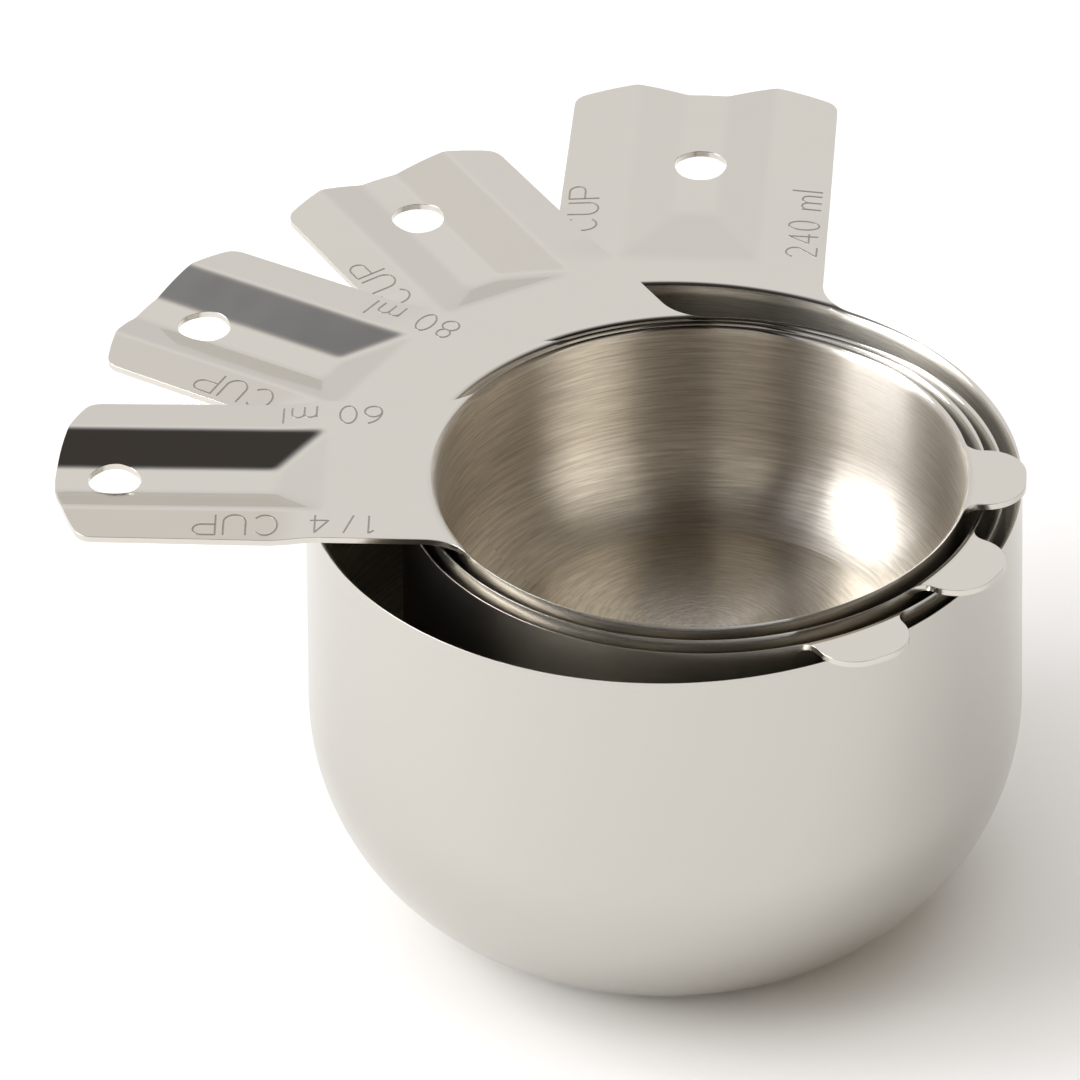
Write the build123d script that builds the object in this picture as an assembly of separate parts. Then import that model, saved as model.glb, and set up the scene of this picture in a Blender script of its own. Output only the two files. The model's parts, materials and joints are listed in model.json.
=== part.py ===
from build123d import *
import math
import os

# Nested set of four measuring cups. Each cup is one piece, deep-drawn from stainless
# sheet: a bowl, a wide handle with a pressed channel and a hanging hole and, on the three
# smaller cups, a finger tab opposite the handle.
# Millimetres, +Z up. The origin is at the middle of the underside of the largest cup's
# base, and that cup's handle points along +Y.

SHEET = 0.75                # sheet thickness
RIM_BEND = 0.5              # inside radius of the bend from the wall to the flange

CORNER_ANGLE = 57.0         # turn of the large bottom arc before the small one takes over
CORNER_STEPS = 400          # slices in the sum for the volume of the rounded bottom

HANDLE_FLARE = 1.05         # root width over tip width
HANDLE_FOOT = 0.5           # where the straight sides start, as a part of the rim radius
HANDLE_TIP_RISE = 3.4       # how far the middle of the tip stands past its corners
HANDLE_CORNER_RADIUS = 2.2
HANDLE_ROOT_FILLET = 6.0
HOLE_RADIUS = 3.0

CHANNEL_RIDGE = 8.1         # half distance between the two ridges
CHANNEL_FLOOR = 2.3         # half width of the floor
CHANNEL_DEPTH = 1.9
CHANNEL_LENGTH = 25.2       # tip to where the run-out starts
CHANNEL_CLOSED_EDGE = 0.4   # width left to each slope where the channel has run out
FLANGE_DROOP = 0.55         # fall of the flat edge strips from ridge to edge
PLATE_MARGIN = 6.0          # extra width of the untrimmed handle plate on each side
FLAT_ROOT = 2.0             # flat flange between the rim and the handle plate

TAB_LENGTH = 6.2            # rim to tip
TAB_OVERLAP = 8.0           # how far the tab's blank reaches in over the bowl
TAB_WIDTH = 11.0
TAB_TIP_RADIUS = 4.6
TAB_ROOT_FILLET = 2.0
FLANGE_REACH = 10.0         # untrimmed flange past the rim
ROOT_CUT_HEIGHT = 3.0       # height of the box that clears the flange for the handle plate
CUT_MARGIN = 1.0            # how far blanks and cutters reach past the finished shape
ON_RIM = 0.01               # a corner nearer than this to the rim's circle is on it

# rim radius, capacity in ml, large and small bottom arc radius, handle's length past the rim
# and width at the tip, direction of the handle, place of the rim's centre in the nest
# measured from the middle of the largest cup's rim, distance from the cup's centre to the
# hanging hole, length over which the channel runs out, finger tab
CUPS = {
    "one_cup": dict(radius=40.6, capacity=240.0, arcs=(27.5, 13.5), length=42.4, width=30.4,
                    handle_angle=90.0, place=(0.0, 0.0, 0.0), hole=68.1, runout=12.0,
                    tab=False),
    "half_cup": dict(radius=34.15, capacity=120.0, arcs=(20.0, 11.0), length=41.6, width=27.6,
                     handle_angle=123.2, place=(4.65, -2.5, 1.5), hole=66.3, runout=5.5,
                     tab=True),
    "third_cup": dict(radius=32.45, capacity=80.0, arcs=(14.0, 9.0), length=41.7, width=27.4,
                      handle_angle=152.5, place=(4.5, -3.15, 2.6), hole=66.3, runout=5.5,
                      tab=True),
    "quarter_cup": dict(radius=30.65, capacity=60.0, arcs=(11.0, 7.0), length=42.4, width=27.0,
                        handle_angle=181.8, place=(4.4, -3.85, 3.65), hole=66.3, runout=5.5,
                        tab=True),
}


def bottom_arcs(cup, inset):
    """Radii of the two bottom arcs, moved in by inset, and the centre of the small arc
    measured from the centre of the large one."""
    large, small = cup["arcs"]
    turn = math.radians(CORNER_ANGLE)
    centre = ((large - small) * math.cos(turn), (large - small) * math.sin(turn))
    return large - inset, small - inset, centre


def rounded_bottom_volume(cup):
    """Inside volume of the rounded bottom, below the straight wall, as a sum of discs."""
    large, small, centre = bottom_arcs(cup, SHEET)
    middle = cup["radius"] - cup["arcs"][0]
    turn = math.radians(CORNER_ANGLE)
    volume = 0.0
    for step in range(CORNER_STEPS):
        angle = math.pi / 2 * (step + 0.5) / CORNER_STEPS
        swing = math.pi / 2 / CORNER_STEPS
        if angle < turn:
            radius = middle + large * math.cos(angle)
            height = large * math.cos(angle) * swing
        else:
            radius = middle + centre[0] + small * math.cos(angle)
            height = small * math.cos(angle) * swing
        volume += math.pi * radius ** 2 * height
    return volume


def wall_height(cup):
    """Height of the straight wall that makes the cup hold its capacity to the brim."""
    inside = cup["radius"] - SHEET
    return (cup["capacity"] * 1000 - rounded_bottom_volume(cup)) / (math.pi * inside ** 2)


def depth(cup):
    """Outside depth from the rim to the underside of the base."""
    _, small, centre = bottom_arcs(cup, 0)
    return wall_height(cup) + centre[1] + small


def bowl_side(cup, inset):
    """Side of the bowl from the rim's bend to the edge of the flat base, moved in by
    inset, with its end point."""
    wall = wall_height(cup)
    large, small, centre = bottom_arcs(cup, inset)
    middle = cup["radius"] - cup["arcs"][0]
    turn = math.radians(CORNER_ANGLE)

    def on_large(angle):
        return (middle + large * math.cos(angle), -wall - large * math.sin(angle))

    def on_small(angle):
        return (middle + centre[0] + small * math.cos(angle),
                -wall - centre[1] - small * math.sin(angle))

    half = (turn + math.pi / 2) / 2
    top = (cup["radius"] - inset, -SHEET - RIM_BEND)
    edges = [
        Line(top, on_large(0)),
        ThreePointArc(on_large(0), on_large(turn / 2), on_large(turn)),
        ThreePointArc(on_small(turn), on_small(half), on_small(math.pi / 2)),
    ]
    return edges, on_small(math.pi / 2)


def bowl(cup):
    """Bowl with its bent rim and an untrimmed flat flange all round."""
    rim = cup["radius"]
    reach = rim + FLANGE_REACH
    low = -SHEET - RIM_BEND
    outer, outer_end = bowl_side(cup, 0)
    inner, inner_end = bowl_side(cup, SHEET)
    over = RIM_BEND + SHEET
    slant = math.sqrt(0.5)
    bend_centre = (rim + RIM_BEND, low)
    outer_bend = ThreePointArc(
        (rim, low),
        (bend_centre[0] - RIM_BEND * slant, low + RIM_BEND * slant),
        (bend_centre[0], -SHEET))
    inner_bend = ThreePointArc(
        (rim - SHEET, low),
        (bend_centre[0] - over * slant, low + over * slant),
        (bend_centre[0], 0))
    flange = Polyline((bend_centre[0], -SHEET), (reach, -SHEET), (reach, 0), (bend_centre[0], 0))
    base = Polyline(inner_end, (0, inner_end[1]), (0, outer_end[1]), outer_end)
    section = make_face(Curve() + outer + inner + [outer_bend, inner_bend, flange, base])
    return revolve(Plane.XZ * section, Axis.Z)


def outline(cup):
    """Trimmed outline of the blank from above, handle along +X."""
    rim = cup["radius"]
    tip = rim + cup["length"]
    foot = rim * HANDLE_FOOT
    tip_half = cup["width"] / 2
    root_half = tip_half * HANDLE_FLARE
    corner = tip - HANDLE_TIP_RISE
    handle = make_face(Curve() + [
        Polyline((corner, -tip_half), (foot, -root_half), (foot, root_half),
                 (corner, tip_half)),
        ThreePointArc((corner, tip_half), (tip, 0), (corner, -tip_half)),
    ])
    handle = fillet(handle.vertices().group_by(Axis.X)[-1], HANDLE_CORNER_RADIUS)
    blank = Circle(rim) + handle
    roots = [v for v in blank.vertices()
             if 0 < v.X < rim and abs(math.hypot(v.X, v.Y) - rim) < ON_RIM]
    blank = fillet(roots, HANDLE_ROOT_FILLET)
    if cup["tab"]:
        middle = -rim + (TAB_OVERLAP - TAB_LENGTH) / 2
        tab = Pos(middle, 0) * Rectangle(TAB_LENGTH + TAB_OVERLAP, TAB_WIDTH)
        tab = fillet(tab.vertices().group_by(Axis.X)[0], TAB_TIP_RADIUS)
        blank = blank + tab
        roots = [v for v in blank.vertices()
                 if v.X < 0 and abs(math.hypot(v.X, v.Y) - rim) < ON_RIM]
        blank = fillet(roots, TAB_ROOT_FILLET)
    return blank


def plate_section(x, half_width, ridge, floor, channel, droop):
    """Cross-section of the handle plate at x: two edge strips, two slopes and a floor."""
    edge = -droop * (half_width - ridge) / (half_width - PLATE_MARGIN - ridge)
    top = [(-half_width, edge), (-ridge, 0), (-floor, -channel),
           (floor, -channel), (ridge, 0), (half_width, edge)]
    under = [(y, z - SHEET) for y, z in reversed(top)]
    points = [Vector(x, y, z) for y, z in top + under]
    return make_face(Polyline(*points, close=True))


def handle_plate(cup):
    """Handle plate before trimming: the pressed channel is open at the tip and runs out
    towards the cup, and the edge strips fall away from the ridges."""
    rim = cup["radius"]
    tip = rim + cup["length"]
    wide = cup["width"] / 2 + PLATE_MARGIN
    closed = CHANNEL_RIDGE - CHANNEL_CLOSED_EDGE
    full = (CHANNEL_RIDGE, CHANNEL_FLOOR, CHANNEL_DEPTH, FLANGE_DROOP)
    stations = [
        (tip + CUT_MARGIN, full),
        (tip - CHANNEL_LENGTH, full),
        (tip - CHANNEL_LENGTH - cup["runout"], (CHANNEL_RIDGE, closed, 0.0, 0.0)),
        (rim + FLAT_ROOT, (CHANNEL_RIDGE, closed, 0.0, 0.0)),
    ]
    sections = [plate_section(x, wide, *shape) for x, shape in stations]
    lengths = [loft([a, b], ruled=True) for a, b in zip(sections, sections[1:])]
    plate = lengths[0]
    for length in lengths[1:]:
        plate = plate + length
    return plate


def make_cup(cup):
    """One cup with the middle of its rim plane at the origin and its handle along +X."""
    rim = cup["radius"]
    reach = rim + FLANGE_REACH
    past_root = Pos(rim + FLAT_ROOT + reach / 2, 0, 0) * Box(reach, 2 * reach, ROOT_CUT_HEIGHT)
    body = bowl(cup) - past_root + handle_plate(cup)
    blank = extrude(outline(cup), amount=depth(cup) + CUT_MARGIN, both=True)
    through = 2 * (CHANNEL_DEPTH + SHEET + CUT_MARGIN)
    hole = Pos(cup["hole"], 0, 0) * Cylinder(HOLE_RADIUS, through)
    return (body & blank) - hole


def place_cup(cup):
    """Turn the cup to its handle's direction and lift it to its place in the nest."""
    x, y, rise = cup["place"]
    rim_height = depth(CUPS["one_cup"]) + rise
    return Pos(x, y, rim_height) * Rot(0, 0, cup["handle_angle"]) * make_cup(cup)


os.makedirs("parts", exist_ok=True)
for name, cup in CUPS.items():
    export_step(place_cup(cup), f"parts/{name}.step")
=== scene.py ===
"""Nested set of four stainless steel measuring cups, with engraved marks and a plain stage.

Each cup is one deep-drawn blank: a bowl, a wide handle with a pressed channel and, on the
smaller cups, a finger tab. The surfaces are worked out in millimetres in the cup's own
frame, with the middle of the rim plane at the origin and the handle along +X, and are then
turned and lifted to the cup's place in the nest.
"""

import json
import math

import bmesh
import bpy
import numpy as np
from mathutils import Matrix, Vector


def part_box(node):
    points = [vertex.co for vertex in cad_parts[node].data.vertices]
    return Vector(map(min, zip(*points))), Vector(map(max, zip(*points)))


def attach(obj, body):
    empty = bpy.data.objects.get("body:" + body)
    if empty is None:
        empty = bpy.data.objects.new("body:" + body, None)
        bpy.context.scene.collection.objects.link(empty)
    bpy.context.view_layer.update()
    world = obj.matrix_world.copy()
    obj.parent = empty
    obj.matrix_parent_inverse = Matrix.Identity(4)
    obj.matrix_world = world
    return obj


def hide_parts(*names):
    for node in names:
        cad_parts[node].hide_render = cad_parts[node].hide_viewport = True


bl_info = {
    "name": "Measuring cup set",
    "version": (1, 0, 0),
    "blender": (4, 5, 0),
    "location": "3D View > Sidebar > Measuring Cups",
    "description": "Builds a nested set of stainless steel measuring cups and its stage",
    "category": "Add Mesh",
}

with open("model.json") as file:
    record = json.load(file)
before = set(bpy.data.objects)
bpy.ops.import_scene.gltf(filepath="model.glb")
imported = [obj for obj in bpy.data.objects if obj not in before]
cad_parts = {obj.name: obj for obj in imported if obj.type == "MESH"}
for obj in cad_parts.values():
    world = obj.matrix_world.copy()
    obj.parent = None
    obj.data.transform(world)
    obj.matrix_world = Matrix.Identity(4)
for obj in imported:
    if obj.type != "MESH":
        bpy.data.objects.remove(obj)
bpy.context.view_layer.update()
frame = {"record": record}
MM = 0.001

# All sizes below are in millimetres, unless they say otherwise.
# Rim radius, radii of the two arcs of the rounded bottom, handle length and width at the
# tip, length over which the channel runs out, finger tab, words on the left and right edge
# strips, and how far past the rim they start
CUPS = {
    "one_cup": dict(radius=40.6, arcs=(27.5, 13.5), length=42.4, width=30.4, runout=12.0,
                    tab=False, left="1 CUP", right="240 ml", text_start=6.2),
    "half_cup": dict(radius=34.15, arcs=(20.0, 11.0), length=41.6, width=27.6, runout=5.5,
                     tab=True, left="1/2 CUP", right="", text_start=4.8),
    "third_cup": dict(radius=32.45, arcs=(14.0, 9.0), length=41.7, width=27.4, runout=5.5,
                      tab=True, left="1/3 CUP", right="80 ml", text_start=7.2),
    "quarter_cup": dict(radius=30.65, arcs=(11.0, 7.0), length=42.4, width=27.0, runout=5.5,
                        tab=True, left="1/4 CUP", right="60 ml", text_start=5.8),
}

CORNER_TURN = math.radians(57.0)    # turn of the large bottom arc before the small one
ARM_FOOT = 0.5                      # where an arm's straight sides start, in rim radii
HANDLE_FLARE = 1.05                 # root width over tip width
TIP_RISE = 3.4                      # how far the middle of the tip stands past its corners
CORNER_RADIUS = 2.2
ROOT_FILLET = 6.0
CHANNEL_RIDGE = 8.1                 # half distance between the ridges
CHANNEL_FLOOR = 2.3                 # half width of the channel's floor
TAB_WIDTH = 11.0
TAB_CORNER = 4.6
TAB_ROOT_FILLET = 2.0
TAB_RISE = 0.05
CREASE = 0.5                        # half width of each rounded crease
NOSE = 1.2                          # half width of the rounding where side and end ramp meet
FALL_BLEND = 1.0                    # the edge strips fall fully this far past the run-out
FLUSH = 0.02                        # an edge this near to the rim's circle is the wall's own end
DEBURR = 0.18                       # width of the rounding of the cut edges
DEBURR_SEGMENTS = 3
DEBURR_ANGLE = math.radians(60)     # edges sharper than this are rounded
SHARP_ANGLE = math.radians(40)      # edges sharper than this are shaded as sharp

# How finely the surfaces are divided
BASE_ROWS = 5                       # rings of points across the flat base
SMALL_ARC_ROWS, LARGE_ARC_ROWS, WALL_ROWS, BEND_ROWS = 16, 22, 10, 9
POLISHED_ROWS = 3                   # the outermost rows of the bend, which are polished
RIM_STEP = 0.022                    # turn between points round the plain rim, in radians
FILLET_STEP = 0.02                  # and beside the arms
HANDLE_ROWS, HANDLE_COLUMNS = 121, 97
TAB_ROWS, TAB_COLUMNS = 21, 33
FILLET_POINTS, CORNER_POINTS, TIP_POINTS = 24, 8, 60
HOLE_WINDOW = 4.3                   # half side of the grid window that the hole is set in
HOLE_RINGS = 9                      # rings of points from the hole to the window
HOLE_CROWDING = 1.3                 # power that draws those rings towards the hole
WELD_GRID = 1e4                     # steps to the millimetre on which patches are welded
WELD = 2e-6                         # points nearer than this are one, in metres

# Finishes, in the order of the cups' material slots
ZONE_INSIDE, ZONE_POLISHED, ZONE_OUTSIDE, ZONE_EDGE, ZONE_BASE = range(5)


def linear(hex_colour):
    """sRGB hex colour as linear red, green, blue and alpha."""
    values = [int(hex_colour[i:i + 2], 16) / 255 for i in (1, 3, 5)]
    return tuple(v / 12.92 if v <= 0.04045 else ((v + 0.055) / 1.055) ** 2.4
                 for v in values) + (1.0,)


# ---------------------------------------------------------------- sizes and colours

class CupSizes(bpy.types.PropertyGroup):
    """Sizes that all four cups share."""
    sheet: bpy.props.FloatProperty(
        name="Sheet", description="Thickness of the stainless sheet",
        default=0.75 * MM, min=0.3 * MM, max=1.5 * MM, unit="LENGTH", precision=5)
    bend: bpy.props.FloatProperty(
        name="Rim bend", description="Inside radius of the bend from wall to handle",
        default=0.5 * MM, min=0.1 * MM, max=2 * MM, unit="LENGTH", precision=5)
    channel_length: bpy.props.FloatProperty(
        name="Channel length", description="Length of the full-depth channel from the tip",
        default=25.2 * MM, min=10 * MM, max=32 * MM, unit="LENGTH")
    channel_depth: bpy.props.FloatProperty(
        name="Channel depth", description="Depth of the pressed channel below its ridges",
        default=1.9 * MM, min=0.5 * MM, max=2 * MM, unit="LENGTH")
    edge_fall: bpy.props.FloatProperty(
        name="Edge fall", description="Fall of the edge strips from ridge to edge",
        default=0.55 * MM, min=0, max=0.6 * MM, unit="LENGTH")
    hole_radius: bpy.props.FloatProperty(
        name="Hole radius", description="Radius of the hanging hole",
        default=3.0 * MM, min=1 * MM, max=3.2 * MM, unit="LENGTH")
    tab_length: bpy.props.FloatProperty(
        name="Tab length", description="How far the finger tab stands past the rim",
        default=6.2 * MM, min=5.5 * MM, max=6.3 * MM, unit="LENGTH")
    mark_height: bpy.props.FloatProperty(
        name="Mark height", description="Height of the engraved capital letters",
        default=3.5 * MM, min=2 * MM, max=4 * MM, unit="LENGTH")
    mark_width: bpy.props.FloatProperty(
        name="Mark line", description="Width of the engraved line",
        default=0.2 * MM, min=0.1 * MM, max=0.5 * MM, unit="LENGTH", precision=5)


class SteelColours(bpy.types.PropertyGroup):
    """Colours of the steel's finishes and of the stage."""
    polished: bpy.props.FloatVectorProperty(
        name="Polished", description="Reflection colour of the mirror-polished handles",
        subtype="COLOR", size=4, min=0, max=1, default=linear("#d0ccc5"))
    satin: bpy.props.FloatVectorProperty(
        name="Satin", description="Reflection colour of the satin outside of the bowls",
        subtype="COLOR", size=4, min=0, max=1, default=linear("#c4c1bb"))
    brushed: bpy.props.FloatVectorProperty(
        name="Brushed", description="Reflection colour of the spun inside of the bowls",
        subtype="COLOR", size=4, min=0, max=1, default=linear("#ded8ce"))
    engraved: bpy.props.FloatVectorProperty(
        name="Engraved", description="Reflection colour of the engraved marks",
        subtype="COLOR", size=4, min=0, max=1, default=linear("#aba69f"))
    floor: bpy.props.FloatVectorProperty(
        name="Floor", description="Colour of the floor",
        subtype="COLOR", size=4, min=0, max=1, default=linear("#f6f5f4"))


# ---------------------------------------------------------------- curves and heights

def soft_ramp(t, width):
    """Zero below -width and t above width, with a parabola between the two."""
    middle = (t + width) ** 2 / (4 * width)
    return np.where(t <= -width, 0.0, np.where(t >= width, t, middle))


def soft_min(a, b, width):
    """The lesser of a and b, rounded off with a parabola where they are close."""
    return a - soft_ramp(a - b, width)


def smooth_step(t, low, high):
    """Rises from 0 at low to 1 at high with level ends, as 3 s squared less 2 s cubed."""
    s = np.clip((t - low) / (high - low), 0.0, 1.0)
    return s * s * (3 - 2 * s)


def arc_points(centre, radius, angle):
    """Points on a circle: its centre plus the radius times the cosine and sine."""
    return np.stack([centre[0] + radius * np.cos(angle),
                     centre[1] + radius * np.sin(angle)], axis=-1)


def arc(centre, radius, start, end, count):
    """Even points along a circle's arc, from the start angle to the end angle."""
    return arc_points(centre, radius, np.linspace(start, end, count))


def resample(path, fractions):
    """Points at the given fractions of a path's length, read off straight between its
    points."""
    steps = np.linalg.norm(np.diff(path, axis=0), axis=1)
    along = np.concatenate([[0.0], np.cumsum(steps)])
    along = along / along[-1]
    return np.stack([np.interp(fractions, along, path[:, k]) for k in (0, 1)], axis=-1)


def angle_of(vector):
    """Angle of a vector from +X, in radians."""
    return math.atan2(vector[1], vector[0])


def reach_along(start, along, reach):
    """The point at distance reach from the origin on the line that leaves start in the unit
    direction along: start + t along, with t the greater root of |start + t along| = reach."""
    dot = start @ along
    return start + along * (-dot + math.sqrt(dot ** 2 - start @ start + reach ** 2))


class Blade:
    """Outline from above of a flat arm that leaves the round rim along +X: two straight
    sides, filleted to the rim at the root, and a rounded tip. All in millimetres."""

    def __init__(self, rim, bend, length, half_root, half_tip, rise, corner, fillet):
        self.flat = rim + bend
        tip = rim + length
        foot = np.array([rim * ARM_FOOT, half_root])
        shoulder = np.array([tip - rise, half_tip])
        along = (shoulder - foot) / np.linalg.norm(shoulder - foot)
        out = np.array([-along[1], along[0]])
        # root fillet: touches the side and the rim's circle, both from outside
        self.fillet = fillet
        self.fillet_centre = reach_along(foot + fillet * out, along, rim + fillet)
        # tip arc: passes through both shoulders and the tip
        tip_radius = (half_tip ** 2 + rise ** 2) / (2 * rise)
        tip_centre = np.array([tip - tip_radius, 0.0])
        # corner: touches the side and the tip arc from inside
        corner_centre = tip_centre + reach_along(foot - corner * out - tip_centre, along,
                                                 tip_radius - corner)
        meet = (corner_centre - tip_centre) / np.linalg.norm(corner_centre - tip_centre)
        # where the fillet crosses the circle on which the bend has become flat
        self.tangent_angle = angle_of(self.fillet_centre)
        distance = np.linalg.norm(self.fillet_centre)
        cosine = (distance ** 2 + self.flat ** 2 - fillet ** 2) / (2 * distance * self.flat)
        self.root_angle = self.tangent_angle - math.acos(cosine)
        start = self.flat * np.array([math.cos(self.root_angle), math.sin(self.root_angle)])
        start_angle = angle_of(start - self.fillet_centre) % (2 * math.pi)
        end_angle = angle_of(-out) % (2 * math.pi)
        mid_corner = (angle_of(out) + angle_of(meet)) / 2
        self.side = np.concatenate([
            arc(self.fillet_centre, fillet, start_angle, end_angle, FILLET_POINTS),
            arc(corner_centre, corner, angle_of(out), mid_corner, CORNER_POINTS)])
        self.end = np.concatenate([
            arc(corner_centre, corner, mid_corner, angle_of(meet), CORNER_POINTS),
            arc(tip_centre, tip_radius, angle_of(meet), -angle_of(meet), TIP_POINTS),
            arc(corner_centre * (1, -1), corner, -angle_of(meet), -mid_corner, CORNER_POINTS)])

    def root_angles(self, count):
        """Angles around the rim of the root's points, evenly spaced across the arm, from
        the right side to the left one."""
        across = self.flat * math.sin(self.root_angle) * np.linspace(-1, 1, count)
        return np.arcsin(across / self.flat)

    def outline_radius(self, angle):
        """Distance from the rim's centre to the fillet along a ray at an angle: the lesser
        root of |distance * ray - fillet's centre| = fillet's radius."""
        ray = np.stack([np.cos(angle), np.sin(np.abs(angle))], axis=-1)
        dot = ray @ self.fillet_centre
        inside = dot ** 2 - (self.fillet_centre @ self.fillet_centre - self.fillet ** 2)
        return dot - np.sqrt(np.maximum(inside, 0))

    def grid(self, rows, columns):
        """Coons patch between four edges: the root's arc, the tip and the two sides. A
        point is the blend of the two ends plus the blend of the two sides, less the
        straight blend of the four corners."""
        angles = self.root_angles(columns)
        root = self.flat * np.stack([np.cos(angles), np.sin(angles)], axis=-1)
        across = np.linspace(0, 1, columns)
        length = np.linspace(0, 1, rows)
        tip = resample(self.end[::-1], across)
        left = resample(self.side, length)
        right = left * (1, -1)
        run = (left[:, 0] - left[0, 0]) / (left[-1, 0] - left[0, 0])
        run = run[:, None, None]
        cross = across[None, :, None]
        ends = (1 - run) * root[None] + run * tip[None]
        sides = (1 - cross) * right[:, None] + cross * left[:, None]
        corners = ((1 - run) * ((1 - cross) * root[0] + cross * root[-1])
                   + run * ((1 - cross) * tip[0] + cross * tip[-1]))
        return ends + sides - corners


def handle_height(x, y, cup, sizes):
    """Height of the handle's top face. The channel's depth is the least of its full depth,
    the depth that its side slopes reach and the depth that its end ramp reaches, with the
    creases rounded. The edge strips fall away outside the ridges."""
    depth = sizes.channel_depth / MM
    start = cup["radius"] + cup["length"] - sizes.channel_length / MM
    runout = cup["runout"]
    closed = start - runout
    off = np.abs(y)
    side = depth * (CHANNEL_RIDGE - off) / (CHANNEL_RIDGE - CHANNEL_FLOOR)
    ramp = depth * (x - closed) / runout
    width = CREASE * depth / (CHANNEL_RIDGE - CHANNEL_FLOOR)
    nose = NOSE * depth / runout
    channel = soft_ramp(soft_min(soft_min(side, ramp, nose), depth, width), width)
    strip = cup["width"] / 2 - CHANNEL_RIDGE
    fall = sizes.edge_fall / MM * smooth_step(x, closed, start + FALL_BLEND)
    return -channel - fall * soft_ramp(off - CHANNEL_RIDGE, CREASE) / strip


# ---------------------------------------------------------------- sheet metal

def grid_cells(index):
    """The four corners of each cell of a grid of point numbers."""
    return np.stack([index[:-1, :-1], index[1:, :-1], index[1:, 1:], index[:-1, 1:]], axis=-1)


class Sheet:
    """Gathers patches of a sheet: each has a top and a bottom skin on the same grid."""

    def __init__(self):
        self.top, self.bottom, self.uv, self.faces, self.zones = [], [], [], [], []
        self.count = 0

    def add(self, top, bottom, uv, zones, keep=None):
        """Adds a grid of points and its cells. zones holds the finish of the top and the
        bottom of each row of cells, and keep is False on the cells that are left out."""
        rows, columns = top.shape[:2]
        index = self.count + np.arange(rows * columns).reshape(rows, columns)
        cells = grid_cells(index)
        finish = np.broadcast_to(zones[:, None], (rows - 1, columns - 1, 2))
        if keep is not None:
            cells, finish = cells[keep], finish[keep]
        self.faces.append(cells.reshape(-1, 4))
        self.zones.append(finish.reshape(-1, 2))
        self.top.append(top.reshape(-1, 3))
        self.bottom.append(bottom.reshape(-1, 3))
        self.uv.append(uv.reshape(-1, 2))
        self.count += rows * columns

    def close(self, rim):
        """Welds the patches, joins the two skins along every free edge and returns points,
        faces, face-corner UVs and finishes. The joint is flush with the bowl's outside
        where it lies on the rim's circle, and a cut edge elsewhere."""
        top, bottom = np.concatenate(self.top), np.concatenate(self.bottom)
        uv, faces = np.concatenate(self.uv), np.concatenate(self.faces)
        zones = np.concatenate(self.zones)
        _, first, back = np.unique(np.round(top * WELD_GRID).astype(np.int64), axis=0,
                                   return_index=True, return_inverse=True)
        top, bottom = top[first], bottom[first]
        corner_uv = uv[faces]
        faces = back.reshape(-1)[faces]
        count = len(top)
        # an edge is free where no cell runs along it the other way
        start = faces.reshape(-1)
        end = np.roll(faces, -1, axis=1).reshape(-1)
        real = start != end
        forward = start * count + end
        free = real & ~np.isin(forward, end * count + start)
        a, b = start[free], end[free]
        edge = np.stack([b, a, a + count, b + count], axis=-1)
        edge_uv = np.repeat(corner_uv.reshape(-1, 2)[free][:, None], 4, axis=1)
        points = np.concatenate([top, bottom])
        under = faces[:, ::-1] + count
        all_faces = np.concatenate([faces, under, edge])
        all_uv = np.concatenate([corner_uv, corner_uv[:, ::-1], edge_uv])
        flush = np.hypot(points[a, 0], points[a, 1]) < rim + FLUSH
        joint = np.where(flush, ZONE_OUTSIDE, ZONE_EDGE)
        finishes = np.concatenate([zones[:, 0], zones[:, 1], joint])
        return points, all_faces, all_uv, finishes


def spaced(low, high, step):
    """Even values from low to high, ends included, no further apart than step."""
    return np.linspace(low, high, max(2, int(math.ceil(abs(high - low) / step)) + 1))


def bowl_profile(cup, sizes, depth, inset):
    """Radius and height of one skin from the middle of the base to the start of the rim's
    bend: a flat base, the small arc, the large arc and a straight wall."""
    large, small = cup["arcs"]
    middle = cup["radius"] - large
    knee_r = middle + (large - small) * math.cos(CORNER_TURN)
    knee_z = small - depth
    wall_z = knee_z + (large - small) * math.sin(CORNER_TURN)
    low = -(sizes.sheet + sizes.bend) / MM
    base = np.linspace(0, 1, BASE_ROWS + 1)[:-1] * knee_r
    steep = np.linspace(math.pi / 2, CORNER_TURN, SMALL_ARC_ROWS)[:-1]
    gentle = np.linspace(CORNER_TURN, 0, LARGE_ARC_ROWS)[:-1]
    wall = np.linspace(wall_z, low, WALL_ROWS)
    radius = np.concatenate([
        base,
        knee_r + (small - inset) * np.cos(steep),
        middle + (large - inset) * np.cos(gentle),
        np.full(len(wall), cup["radius"] - inset)])
    height = np.concatenate([
        np.full(len(base), inset - depth),
        knee_z - (small - inset) * np.sin(steep),
        wall_z - (large - inset) * np.sin(gentle),
        wall])
    return radius, height


def rim_bend(cup, sizes, reach, radius):
    """Bend of one skin from the wall outwards: a quarter circle about a line outside the
    wall, cut off where it comes out to the trimmed edge."""
    bend = sizes.bend / MM
    flat = cup["radius"] + bend
    low = -(sizes.sheet + sizes.bend) / MM
    stop = np.arccos(np.clip((flat - reach) / radius, 0, 1))
    angle = np.linspace(0, 1, BEND_ROWS)[:, None] * stop[None]
    return flat - radius * np.cos(angle), low + radius * np.sin(angle)


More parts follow.
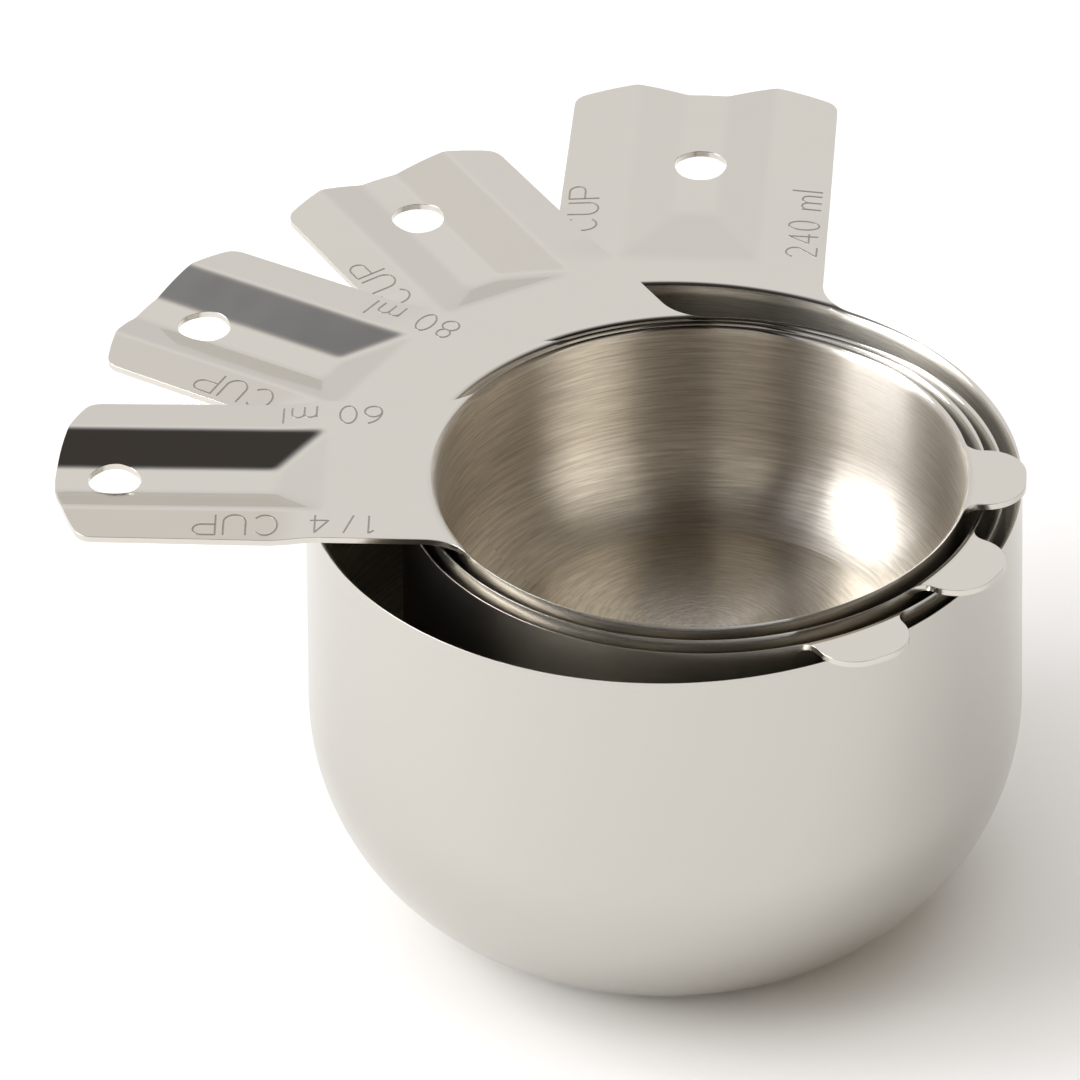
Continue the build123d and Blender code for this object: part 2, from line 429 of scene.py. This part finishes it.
def rim_stations(cup, handle, tab):
    """Angles around the rim where the bowl has points, and how far from the axis the sheet
    reaches at each: to the flat circle across an arm's root, to the fillets beside it, and
    to the rim elsewhere. They start and end at the handle's right side."""
    rim = cup["radius"]
    roots = handle.root_angles(HANDLE_COLUMNS)
    beside = spaced(handle.root_angle, handle.tangent_angle, FILLET_STEP)[1:]
    runs = [(roots, handle.flat), (beside, handle.outline_radius(beside))]
    if tab:
        tab_roots = tab.root_angles(TAB_COLUMNS)
        near = spaced(tab.tangent_angle, tab.root_angle, FILLET_STEP)[:-1]
        leaving = near[::-1]
        plain = spaced(handle.tangent_angle, math.pi - near[0], RIM_STEP)[1:-1]
        runs += [(plain, rim),
                 (math.pi - near, tab.outline_radius(near)),
                 (math.pi + tab_roots, tab.flat),
                 (math.pi + leaving, tab.outline_radius(leaving)),
                 (2 * math.pi - plain[::-1], rim)]
    else:
        runs.append((spaced(handle.tangent_angle, 2 * math.pi - handle.tangent_angle,
                            RIM_STEP)[1:-1], rim))
    runs += [(2 * math.pi - beside[::-1], handle.outline_radius(beside[::-1])),
             (2 * math.pi + roots[:1], handle.flat)]
    turn = np.concatenate([angles for angles, _ in runs])
    reach = np.concatenate([np.broadcast_to(far, angles.shape) for angles, far in runs])
    return turn, reach


def add_bowl(result, cup, sizes, depth, turn, reach):
    """The bowl and the rim's bend: each skin's profile turned about Z, so that a point is
    (radius cos turn, radius sin turn, height)."""
    sheet, bend = sizes.sheet / MM, sizes.bend / MM

    def revolve(radius, height):
        radius, height, angle = np.broadcast_arrays(radius, height, turn)
        return np.stack([radius * np.cos(angle), radius * np.sin(angle), height], axis=-1)

    skins = []
    for inset, bend_radius in ((sheet, bend + sheet), (0.0, bend)):
        radius, height = bowl_profile(cup, sizes, depth, inset)
        bowl = revolve(radius[:, None], height[:, None])
        bent = revolve(*rim_bend(cup, sizes, reach, bend_radius))
        skins.append(np.concatenate([bowl, bent[1:]]))
    top, bottom = skins
    run = np.concatenate([[0.0], np.cumsum(np.linalg.norm(
        np.diff(top[:, 0][:, [0, 2]], axis=0), axis=1))])
    uv = np.stack(np.broadcast_arrays(turn[None] * cup["radius"], run[:, None]), axis=-1)
    zones = np.tile([ZONE_INSIDE, ZONE_OUTSIDE], (len(top) - 1, 1))
    zones[:BASE_ROWS, 0] = ZONE_BASE
    zones[-POLISHED_ROWS:, 0] = ZONE_POLISHED
    result.add(top, bottom, uv, zones)


def add_arm(result, plan, height, sizes, keep=None, side=1):
    """A flat arm: a grid of points seen from above, at the given heights, and the same grid
    one sheet lower. It points along +X, or along -X where side is -1."""
    top = np.concatenate([plan * side, height[..., None]], axis=-1)
    zones = np.full((len(plan) - 1, 2), ZONE_POLISHED)
    result.add(top, top - (0, 0, sizes.sheet / MM), plan, zones, keep)


def hole_patches(plan, hole, sizes):
    """Which cells of the handle's grid stay outside the window round the hole, and the grid
    that fills the window: rings that go from the hole's circle to the window's border, a
    point being the blend of the two along one ray."""
    middle = plan[:, plan.shape[1] // 2, 0]
    near_rows = np.nonzero(np.abs(middle - hole) < HOLE_WINDOW)[0]
    first, last = near_rows[0], near_rows[-1]
    near_columns = np.nonzero(np.abs(plan[(first + last) // 2, :, 1]) < HOLE_WINDOW)[0]
    low, high = near_columns[0], near_columns[-1]
    keep = np.ones((plan.shape[0] - 1, plan.shape[1] - 1), bool)
    keep[first:last, low:high] = False
    border = np.concatenate([
        plan[first:last, low], plan[last, low:high],
        plan[last:first:-1, high], plan[first, high:low:-1], plan[first:first + 1, low]])
    around = np.arctan2(border[:, 1], border[:, 0] - hole)
    circle = arc_points((hole, 0.0), sizes.hole_radius / MM, around)
    grow = np.linspace(0, 1, HOLE_RINGS)[:, None, None] ** HOLE_CROWDING
    return keep, circle[None] * (1 - grow) + border[None] * grow


def cup_sheet(cup, sizes, depth, hole):
    """The whole cup: the bowl turned about Z, the handle as a flat arm with its pressed
    channel and hole and, on the smaller cups, the finger tab as a flat arm opposite."""
    rim, bend = cup["radius"], sizes.bend / MM
    handle = Blade(rim, bend, cup["length"], cup["width"] / 2 * HANDLE_FLARE,
                   cup["width"] / 2, TIP_RISE, CORNER_RADIUS, ROOT_FILLET)
    tab = None
    if cup["tab"]:
        tab = Blade(rim, bend, sizes.tab_length / MM, TAB_WIDTH / 2, TAB_WIDTH / 2, TAB_RISE,
                    TAB_CORNER, TAB_ROOT_FILLET)
    result = Sheet()
    add_bowl(result, cup, sizes, depth, *rim_stations(cup, handle, tab))
    plan = handle.grid(HANDLE_ROWS, HANDLE_COLUMNS)
    keep, window = hole_patches(plan, hole, sizes)
    for grid, cells in ((plan, keep), (window, None)):
        add_arm(result, grid, handle_height(grid[..., 0], grid[..., 1], cup, sizes), sizes, cells)
    if tab:
        plan = tab.grid(TAB_ROWS, TAB_COLUMNS)
        add_arm(result, plan, np.zeros(plan.shape[:2]), sizes, side=-1)
    return result.close(rim)


def make_mesh(name, points, faces, corner_uv, finishes, materials):
    """A mesh object from quads. Quads with two corners on one point become triangles, and
    each face takes the material that its finish numbers."""
    mesh = bpy.data.meshes.new(name)
    same = np.roll(faces, -1, axis=1) == faces
    whole = ~same.any(axis=1)
    short = same.sum(axis=1) == 1
    kept = ~same[short]
    triangles = faces[short][kept].reshape(-1, 3)
    triangle_uv = corner_uv[short][kept].reshape(-1, 3, 2)
    mesh.from_pydata(points, [], faces[whole].tolist() + triangles.tolist())
    finish = np.concatenate([finishes[whole], finishes[short]]).astype(np.int32)
    mesh.polygons.foreach_set("material_index", finish)
    layer = mesh.uv_layers.new(name="SheetMap")
    flat = np.concatenate([corner_uv[whole].reshape(-1), triangle_uv.reshape(-1)])
    layer.data.foreach_set("uv", (flat * MM).astype(np.float32))
    for material in materials:
        mesh.materials.append(material)
    work = bmesh.new()
    work.from_mesh(mesh)
    bmesh.ops.remove_doubles(work, verts=work.verts, dist=WELD)
    work.to_mesh(mesh)
    work.free()
    mesh.shade_smooth()
    mesh.set_sharp_from_angle(angle=SHARP_ANGLE)
    mesh.update()
    piece = bpy.data.objects.new(name, mesh)
    bpy.context.scene.collection.objects.link(piece)
    return piece


def opening_centre(node):
    """Middle, from above, of the space inside a cup, which is on the cup's axis."""
    for opening in frame["record"]["physics"]["openings"]:
        if opening["name"] in (node + "_bottom", node + "_inside"):
            low, high = np.array(opening["box_m"])
            return (low + high)[:2] / 2
    raise ValueError(f"the record states no opening in {node}")


def placement(node):
    """Centre of the rim plane, direction of the handle, distance to the hanging hole and
    depth of the cup, as the frame has them, in metres and radians."""
    low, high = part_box(node)
    centre = opening_centre(node)
    name = node.replace("_cup", "_hanging_hole")
    mount = next(m for m in frame["record"]["mounts"] if m["name"] == name)
    reach = np.array(mount["pos_m"][:2]) - centre
    origin = np.array([centre[0], centre[1], high[2]])
    return origin, math.atan2(reach[1], reach[0]), float(np.hypot(*reach)), high[2] - low[2]


def to_nest(points, origin, angle):
    """Turns points about Z and moves them from the cup's frame to the nest, in metres."""
    c, s = math.cos(angle), math.sin(angle)
    turned = points @ np.array([[c, s, 0], [-s, c, 0], [0, 0, 1]])
    return turned * MM + origin


# ---------------------------------------------------------------- engraved marks

# Single-stroke signs in a box one unit high. A stroke is a run of points, or an arc as
# (centre x, centre y, radius x, radius y, start, end) in degrees. The first number is the
# sign's width.
SIGNS = {
    "C": (0.76, [("arc", 0.40, 0.50, 0.40, 0.50, 42, 318)]),
    "U": (0.72, [("line", (0, 1), (0, 0.36)), ("arc", 0.36, 0.36, 0.36, 0.36, 180, 360),
                 ("line", (0.72, 0.36), (0.72, 1))]),
    "P": (0.72, [("line", (0, 0), (0, 1), (0.44, 1)), ("arc", 0.44, 0.74, 0.28, 0.26, 90, -90),
                 ("line", (0.44, 0.48), (0, 0.48))]),
    "1": (0.18, [("line", (0, 0.84), (0.18, 1), (0.18, 0))]),
    "2": (0.56, [("arc", 0.28, 0.72, 0.28, 0.28, 165, -32),
                 ("line", (0.52, 0.57), (0, 0), (0.56, 0))]),
    "3": (0.54, [("arc", 0.26, 0.75, 0.25, 0.25, 150, -90),
                 ("arc", 0.26, 0.26, 0.28, 0.26, 90, -150)]),
    "4": (0.60, [("line", (0.44, 0), (0.44, 1), (0, 0.3), (0.60, 0.3))]),
    "6": (0.56, [("arc", 0.28, 0.30, 0.28, 0.30, 0, 360),
                 ("arc", 0.58, 0.30, 0.58, 0.70, 180, 104)]),
    "8": (0.56, [("arc", 0.28, 0.76, 0.22, 0.24, 0, 360),
                 ("arc", 0.28, 0.27, 0.28, 0.27, 0, 360)]),
    "0": (0.54, [("arc", 0.27, 0.50, 0.27, 0.50, 0, 360)]),
    "/": (0.30, [("line", (0, 0), (0.30, 1))]),
    "m": (0.80, [("line", (0, 0), (0, 0.64)), ("arc", 0.20, 0.42, 0.20, 0.22, 180, 0),
                 ("line", (0.40, 0.42), (0.40, 0)), ("arc", 0.60, 0.42, 0.20, 0.22, 180, 0),
                 ("line", (0.80, 0.42), (0.80, 0))]),
    "l": (0.02, [("line", (0.01, 0), (0.01, 1))]),
}
SIGN_GAP = 0.26             # gaps in units of the letter height
WORD_GAP = 0.76
CUP_GAP = 1.05              # before the word CUP
FRACTION_GAP = 0.5          # on either side of the stroke of a fraction
ARC_POINTS, LINE_POINTS = 33, 9
MARK_INSET = 2.4            # from the handle's side at the tip to the middle of the letters
# A groove's section: places across it in half widths of the line, and heights above the
# handle in millimetres. It dips under the handle's face at both ends.
GROOVE_ACROSS = np.array([-1.25, -1.0, -0.62, -0.3, 0.0, 0.3, 0.62, 1.0, 1.25])
GROOVE_LIFT = np.array([-0.03, 0.022, 0.016, 0.008, 0.005, 0.008, 0.016, 0.022, -0.03])


def stroke_points(stroke):
    """A stroke as closely spaced points."""
    if stroke[0] == "arc":
        _, x, y, rx, ry, start, end = stroke
        angle = np.radians(np.linspace(start, end, ARC_POINTS))
        return np.stack([x + rx * np.cos(angle), y + ry * np.sin(angle)], axis=-1)
    corners = np.array(stroke[1:], float)
    pieces = [np.linspace(a, b, LINE_POINTS)[:-1] for a, b in zip(corners, corners[1:])]
    return np.concatenate(pieces + [corners[-1:]])


def word_strokes(words):
    """Strokes of a line of signs, from its left end, in units of the letter height."""
    strokes, x = [], 0.0
    for previous, sign in zip(" " + words, words):
        if sign == " ":
            continue
        if previous != " ":
            x += FRACTION_GAP if "/" in (previous, sign) else SIGN_GAP
        elif x > 0:
            x += CUP_GAP if sign == "C" else WORD_GAP
        width, parts = SIGNS[sign]
        strokes += [stroke_points(part) + (x, 0) for part in parts]
        x += width
    return strokes


def groove(path, cup, sizes):
    """A groove's profile carried along a path on the handle: a lip on each side and a
    hollow between them, following the handle's height."""
    across = GROOVE_ACROSS * (sizes.mark_width / MM / 2)
    heading = np.gradient(path, axis=0)
    heading /= np.linalg.norm(heading, axis=1)[:, None]
    aside = np.stack([-heading[:, 1], heading[:, 0]], axis=-1)
    plan = path[:, None] + aside[:, None] * across[None, :, None]
    height = handle_height(plan[..., 0], plan[..., 1], cup, sizes) + GROOVE_LIFT
    return np.concatenate([plan, height[..., None]], axis=-1)


def cup_marks(cup, sizes):
    """All the grooves of one handle as points and quads."""
    tall = sizes.mark_height / MM
    start = cup["radius"] + cup["text_start"]
    points, faces, count = [], [], 0
    for words, side in ((cup["left"], 1), (cup["right"], -1)):
        base = side * (cup["width"] / 2 - MARK_INSET) - tall / 2
        for stroke in word_strokes(words):
            grid = groove(stroke * tall + (start, base), cup, sizes)
            rows, columns = grid.shape[:2]
            index = count + np.arange(rows * columns).reshape(rows, columns)
            points.append(grid.reshape(-1, 3))
            faces.append(grid_cells(index).reshape(-1, 4)[:, ::-1])
            count += rows * columns
    return np.concatenate(points), np.concatenate(faces)


# ---------------------------------------------------------------- materials

def add_node(tree, kind, settings=None, links=None):
    """Adds a node, gives its sockets or properties their values and links its inputs."""
    node = tree.nodes.new(kind)
    for key, value in (settings or {}).items():
        if isinstance(key, int) or key in node.inputs:
            node.inputs[key].default_value = value
        else:
            setattr(node, key, value)
    for key, source in (links or {}).items():
        tree.links.new(source, node.inputs[key])
    return node


def new_material(name):
    """An empty node material."""
    material = bpy.data.materials.new(name)
    material.use_nodes = True
    material.node_tree.nodes.clear()
    return material


def finish_material(tree, shader):
    """Links the shader to the material's output."""
    add_node(tree, "ShaderNodeOutputMaterial", links={"Surface": shader.outputs["BSDF"]})


def mirror_polished_stainless(colour):
    """Mirror-polished 304 stainless: buffed to a mirror, so it takes the colour of what is
    around it, with a faint orange peel from the press and hairline wipe marks."""
    material = new_material("mirror_polished_304_stainless")
    tree = material.node_tree
    place = add_node(tree, "ShaderNodeTexCoord").outputs["Object"]
    peel = add_node(tree, "ShaderNodeTexNoise", {"Scale": 60.0, "Detail": 2.0}, {"Vector": place})
    streak = add_node(tree, "ShaderNodeMapping", {"Scale": (9000.0, 350.0, 350.0),
                                                  "Rotation": (0, 0, 0.6)}, {"Vector": place})
    wipe = add_node(tree, "ShaderNodeTexNoise", {"Scale": 1.0, "Detail": 3.0},
                    {"Vector": streak.outputs["Vector"]})
    rough = add_node(tree, "ShaderNodeMapRange", {"To Min": 0.05, "To Max": 0.09},
                     {"Value": wipe.outputs["Fac"]})
    bump = add_node(tree, "ShaderNodeBump", {"Strength": 0.3, "Distance": 0.0004},
                    {"Height": peel.outputs["Fac"]})
    fine = add_node(tree, "ShaderNodeBump", {"Strength": 0.04, "Distance": 0.00001},
                    {"Height": wipe.outputs["Fac"], "Normal": bump.outputs["Normal"]})
    shader = add_node(tree, "ShaderNodeBsdfPrincipled",
                      {"Base Color": colour, "Metallic": 1.0},
                      {"Roughness": rough.outputs["Result"], "Normal": fine.outputs["Normal"]})
    finish_material(tree, shader)
    return material


def satin_stainless(colour):
    """Satin 304 stainless: the drawn wall, lightly polished all round, which blurs
    reflections into soft bands."""
    material = new_material("satin_polished_304_stainless")
    tree = material.node_tree
    place = add_node(tree, "ShaderNodeTexCoord").outputs["Object"]
    bands = add_node(tree, "ShaderNodeMapping", {"Scale": (120.0, 120.0, 5000.0)},
                     {"Vector": place})
    lines = add_node(tree, "ShaderNodeTexNoise", {"Scale": 1.0, "Detail": 3.0},
                     {"Vector": bands.outputs["Vector"]})
    cloud = add_node(tree, "ShaderNodeTexNoise", {"Scale": 45.0, "Detail": 2.0},
                     {"Vector": place})
    both = add_node(tree, "ShaderNodeMix", {"Factor": 0.5},
                    {"A": lines.outputs["Fac"], "B": cloud.outputs["Fac"]})
    rough = add_node(tree, "ShaderNodeMapRange", {"To Min": 0.17, "To Max": 0.25},
                     {"Value": both.outputs["Result"]})
    bump = add_node(tree, "ShaderNodeBump", {"Strength": 0.06, "Distance": 0.00002},
                    {"Height": lines.outputs["Fac"]})
    shader = add_node(tree, "ShaderNodeBsdfPrincipled",
                      {"Base Color": colour, "Metallic": 1.0},
                      {"Roughness": rough.outputs["Result"], "Normal": bump.outputs["Normal"]})
    finish_material(tree, shader)
    return material


SCRATCH_TONES = (0.78, 1.14)        # darkest and lightest scratch, as parts of the colour


def spun_stainless(name, colour, smoothest, roughest):
    """Brushed 304 stainless, finished while it spun: scratches run round the bowl and
    stretch each reflection across them into upright bands. Real grit marks are about
    0.05 mm apart; they are drawn 0.35 mm apart and 8 mm long, so that they show."""
    material = new_material(name)
    tree = material.node_tree
    sheet_map = add_node(tree, "ShaderNodeUVMap", {"uv_map": "SheetMap"}).outputs["UV"]
    stretch = add_node(tree, "ShaderNodeMapping", {"Scale": (120.0, 2800.0, 1.0)},
                       {"Vector": sheet_map})
    scratch = add_node(tree, "ShaderNodeTexNoise", {"Scale": 1.0, "Detail": 4.0,
                                                    "Roughness": 0.7},
                       {"Vector": stretch.outputs["Vector"]})
    cut = add_node(tree, "ShaderNodeMapRange", {"From Min": 0.36, "From Max": 0.66},
                   {"Value": scratch.outputs["Fac"]})
    darkest, lightest = ([min(1.0, c * part) for c in colour[:3]] + [1.0]
                         for part in SCRATCH_TONES)
    tone = add_node(tree, "ShaderNodeMix", {"data_type": "RGBA", 6: darkest, 7: lightest},
                    {0: cut.outputs["Result"]})
    rough = add_node(tree, "ShaderNodeMapRange", {"To Min": roughest, "To Max": smoothest},
                     {"Value": scratch.outputs["Fac"]})
    bump = add_node(tree, "ShaderNodeBump", {"Strength": 0.6, "Distance": 0.00005},
                    {"Height": scratch.outputs["Fac"]})
    tangent = add_node(tree, "ShaderNodeTangent", {"direction_type": "UV_MAP",
                                                   "uv_map": "SheetMap"})
    shader = add_node(tree, "ShaderNodeBsdfPrincipled",
                      {"Metallic": 1.0, "Anisotropic": 1.0, "Anisotropic Rotation": 0.25},
                      {"Base Color": tone.outputs[2], "Roughness": rough.outputs["Result"],
                       "Normal": bump.outputs["Normal"], "Tangent": tangent.outputs["Tangent"]})
    finish_material(tree, shader)
    return material


def grained_stainless(name, colour, grain_scale, smoothest, roughest):
    """Stainless with a fine, even grain, which makes it rougher in some spots than in
    others."""
    material = new_material(name)
    tree = material.node_tree
    place = add_node(tree, "ShaderNodeTexCoord").outputs["Object"]
    grain = add_node(tree, "ShaderNodeTexNoise", {"Scale": grain_scale, "Detail": 2.0},
                     {"Vector": place})
    rough = add_node(tree, "ShaderNodeMapRange", {"To Min": smoothest, "To Max": roughest},
                     {"Value": grain.outputs["Fac"]})
    shader = add_node(tree, "ShaderNodeBsdfPrincipled",
                      {"Base Color": colour, "Metallic": 1.0},
                      {"Roughness": rough.outputs["Result"]})
    finish_material(tree, shader)
    return material


# ---------------------------------------------------------------- operators

class CUPSET_OT_cups(bpy.types.Operator):
    """Build the four cups from the shared sizes"""
    bl_idname = "cupset.cups"
    bl_label = "Cups"

    def execute(self, context):
        sizes, colours = context.scene.cup_sizes, context.scene.steel_colours
        # in the order of the finishes' numbers; the cut edges are deburred, bright but uneven
        materials = [
            spun_stainless("spun_brushed_304_stainless", colours.brushed,
                           smoothest=0.24, roughest=0.42),
            mirror_polished_stainless(colours.polished),
            satin_stainless(colours.satin),
            grained_stainless("deburred_stainless_edge", colours.polished, grain_scale=2500.0,
                              smoothest=0.14, roughest=0.22),
            spun_stainless("spun_fine_304_stainless", colours.brushed,
                           smoothest=0.14, roughest=0.24)]
        for node, cup in CUPS.items():
            origin, angle, hole, depth = placement(node)
            points, faces, uv, finishes = cup_sheet(cup, sizes, depth / MM, hole / MM)
            piece = make_mesh(node + "_steel", to_nest(points, origin, angle), faces, uv,
                              finishes, materials)
            bevel = piece.modifiers.new("deburred edge", "BEVEL")
            bevel.width = DEBURR * MM
            bevel.segments = DEBURR_SEGMENTS
            bevel.limit_method = "ANGLE"
            bevel.angle_limit = DEBURR_ANGLE
            bevel.harden_normals = True
            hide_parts(node)
            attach(piece, node)
        return {"FINISHED"}


class CUPSET_OT_marks(bpy.types.Operator):
    """Engrave the capacity marks on the handles"""
    bl_idname = "cupset.marks"
    bl_label = "Marks"

    def execute(self, context):
        sizes, colours = context.scene.cup_sizes, context.scene.steel_colours
        # the groove that a marking laser leaves: matt, and a little darker than the polish
        material = grained_stainless("laser_engraved_stainless", colours.engraved,
                                     grain_scale=4000.0, smoothest=0.4, roughest=0.55)
        for node, cup in CUPS.items():
            origin, angle, _, _ = placement(node)
            points, faces = cup_marks(cup, sizes)
            uv = points[faces][..., :2]
            piece = make_mesh(node + "_marks", to_nest(points, origin, angle), faces, uv,
                              np.zeros(len(faces)), [material])
            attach(piece, node)
        return {"FINISHED"}


FOCUS_DISTANCE = 3.0            # camera to the largest cup's rim
ELEVATION = math.radians(34.0)
AZIMUTH = math.radians(4.1)     # turn of the view from straight along +Y
ROLL = math.radians(0.55)
VIEW_WIDTH = 0.12227            # width of the view at the rim
AIM_RIGHT = -0.01409            # aim, from the middle of the rim, in the camera's plane
AIM_UP = -0.00661
SENSOR = 36.0                   # in millimetres
FLOOR_REACH = 3.0               # half side of the floor, in metres

# Colours of the room that the steel mirrors, by height, as the sine of the elevation
ROOM_BY_HEIGHT = [(0.0, "#e4e2e0"), (0.45, "#f6f5f4"), (0.6, "#fdfcfb"), (0.72, "#f0edea"),
                  (0.87, "#8c8e92"), (0.925, "#4a4644"), (1.0, "#3c3734")]
# and by turn about the cups: 0 and 1 are behind them, 0.25 left, 0.5 in front, 0.75 right
ROOM_BY_TURN = [(0.0, "#ffffff"), (0.375, "#ffffff"), (0.385, "#1e1b18"), (0.413, "#1e1b18"),
                (0.425, "#dcd5ca"), (0.487, "#dcd5ca"), (0.498, "#7b7266"), (0.59, "#7b7266"),
                (0.60, "#fff8ea"), (0.70, "#fff8ea"), (0.715, "#8f877b"), (0.87, "#999083"),
                (0.93, "#ffffff")]
ROOM_GLOW = 1.05
LAMP_COLOUR = "#fcfdff"
# name, place, size in metres, power in watts, seen in reflections
LAMPS = [("key", (-1.1, 0.1, 0.95), 0.75, 7.0, True),
         ("side", (-1.25, -0.35, 0.42), 0.8, 15.0, True),
         ("fill", (0.0, 0.0, 2.2), 2.6, 30.0, False)]


class CUPSET_OT_stage(bpy.types.Operator):
    """Lay the floor and set the studio light and the camera"""
    bl_idname = "cupset.stage"
    bl_label = "Stage"

    def execute(self, context):
        self.lay_floor(context)
        self.light_room(context)
        self.set_camera(context)
        return {"FINISHED"}

    def lay_floor(self, context):
        """A square floor, far wider than the view, under the base."""
        mesh = bpy.data.meshes.new("floor")
        corners = np.array([(-1, -1, 0), (1, -1, 0), (1, 1, 0), (-1, 1, 0)]) * FLOOR_REACH
        mesh.from_pydata(corners.tolist(), [], [(0, 1, 2, 3)])
        material = new_material("matt_paper_floor")
        tree = material.node_tree
        place = add_node(tree, "ShaderNodeTexCoord").outputs["Object"]
        grain = add_node(tree, "ShaderNodeTexNoise", {"Scale": 300.0}, {"Vector": place})
        bump = add_node(tree, "ShaderNodeBump", {"Strength": 0.02, "Distance": 0.0001},
                        {"Height": grain.outputs["Fac"]})
        shader = add_node(tree, "ShaderNodeBsdfPrincipled",
                          {"Base Color": context.scene.steel_colours.floor, "Roughness": 0.9},
                          {"Normal": bump.outputs["Normal"]})
        finish_material(tree, shader)
        mesh.materials.append(material)
        floor = bpy.data.objects.new("floor", mesh)
        context.scene.collection.objects.link(floor)

    def light_room(self, context):
        """The room that the steel mirrors, and the lamps. The room's colour is the product
        of two ramps: over the height of the line of sight, its Z, and over its turn about
        the cups, the angle whose tangent is X over -Y."""
        world = bpy.data.worlds.new("studio")
        context.scene.world = world
        world.use_nodes = True
        tree = world.node_tree
        tree.nodes.clear()
        way = add_node(tree, "ShaderNodeTexCoord").outputs["Generated"]
        parts = add_node(tree, "ShaderNodeSeparateXYZ", links={"Vector": way})
        front = add_node(tree, "ShaderNodeMath", {"operation": "MULTIPLY", 1: -1.0},
                         {0: parts.outputs["Y"]})
        turn = add_node(tree, "ShaderNodeMath", {"operation": "ARCTAN2"},
                        {0: parts.outputs["X"], 1: front.outputs["Value"]})
        around = add_node(tree, "ShaderNodeMapRange", {"From Min": -math.pi, "From Max": math.pi},
                          {"Value": turn.outputs["Value"]})
        by_height = add_node(tree, "ShaderNodeValToRGB", links={"Fac": parts.outputs["Z"]})
        by_turn = add_node(tree, "ShaderNodeValToRGB", links={"Fac": around.outputs["Result"]})
        for node, stops in ((by_height, ROOM_BY_HEIGHT), (by_turn, ROOM_BY_TURN)):
            elements = node.color_ramp.elements
            elements.remove(elements[-1])
            elements[0].position = stops[0][0]
            elements[0].color = linear(stops[0][1])
            for position, colour in stops[1:]:
                elements.new(position).color = linear(colour)
        room = add_node(tree, "ShaderNodeVectorMath", {"operation": "MULTIPLY"},
                        {0: by_height.outputs["Color"], 1: by_turn.outputs["Color"]})
        glow = add_node(tree, "ShaderNodeBackground", {"Strength": ROOM_GLOW},
                        {"Color": room.outputs["Vector"]})
        add_node(tree, "ShaderNodeOutputWorld", links={"Surface": glow.outputs["Background"]})
        for name, place, size, watts, mirrored in LAMPS:
            lamp = bpy.data.lights.new(name, "AREA")
            lamp.energy = watts
            lamp.size = size
            lamp.color = linear(LAMP_COLOUR)[:3]
            softbox = bpy.data.objects.new(name, lamp)
            softbox.location = place
            softbox.rotation_euler = (-Vector(place)).to_track_quat("-Z", "Y").to_euler()
            softbox.visible_glossy = mirrored
            context.scene.collection.objects.link(softbox)
        context.scene.view_settings.view_transform = "Standard"

    def set_camera(self, context):
        """A long lens that looks down at the rim of the largest cup from in front, at the
        stated elevation, azimuth and roll. The aim is off the rim's middle, so that the
        whole fan of handles is in view."""
        rim = np.array([0.0, 0.0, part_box("one_cup")[1][2]])
        right = np.array([math.cos(AZIMUTH), math.sin(AZIMUTH), 0.0])
        level = np.array([-math.sin(AZIMUTH), math.cos(AZIMUTH), 0.0])
        ahead = level * math.cos(ELEVATION) - np.array([0, 0, math.sin(ELEVATION)])
        up = np.cross(right, ahead)
        aim = rim + right * AIM_RIGHT + up * AIM_UP
        tilt_right = right * math.cos(ROLL) - up * math.sin(ROLL)
        tilt_up = np.cross(tilt_right, ahead)
        camera_data = bpy.data.cameras.new("camera")
        camera_data.sensor_width = SENSOR
        camera_data.lens = SENSOR * FOCUS_DISTANCE / VIEW_WIDTH
        camera = bpy.data.objects.new("camera", camera_data)
        place = np.eye(4)
        place[:3, 0], place[:3, 1], place[:3, 2] = tilt_right, tilt_up, -ahead
        place[:3, 3] = aim - ahead * FOCUS_DISTANCE
        camera.matrix_world = Matrix(place.tolist())
        context.scene.collection.objects.link(camera)
        context.scene.camera = camera


class CUPSET_PT_sidebar(bpy.types.Panel):
    """Sizes, colours and build steps of the measuring cups"""
    bl_label = "Measuring Cups"
    bl_space_type = "VIEW_3D"
    bl_region_type = "UI"
    bl_category = "Measuring Cups"

    def draw(self, context):
        column = self.layout.column(align=True)
        for group in (context.scene.cup_sizes, context.scene.steel_colours):
            for name in group.bl_rna.properties.keys():
                if name not in ("name", "rna_type"):
                    column.prop(group, name)
        for operator in (CUPSET_OT_cups, CUPSET_OT_marks, CUPSET_OT_stage):
            column.operator(operator.bl_idname)


CLASSES = (CupSizes, SteelColours, CUPSET_OT_cups, CUPSET_OT_marks, CUPSET_OT_stage,
           CUPSET_PT_sidebar)


def register():
    """Registers the classes and hangs the two groups of settings on the scene."""
    for cls in CLASSES:
        bpy.utils.register_class(cls)
    bpy.types.Scene.cup_sizes = bpy.props.PointerProperty(type=CupSizes)
    bpy.types.Scene.steel_colours = bpy.props.PointerProperty(type=SteelColours)


def unregister():
    """Undoes register."""
    del bpy.types.Scene.steel_colours
    del bpy.types.Scene.cup_sizes
    for cls in reversed(CLASSES):
        bpy.utils.unregister_class(cls)


def main():
    """Builds everything."""
    register()
    bpy.ops.cupset.cups()
    bpy.ops.cupset.marks()
    bpy.ops.cupset.stage()


if __name__ == "__main__":
    main()
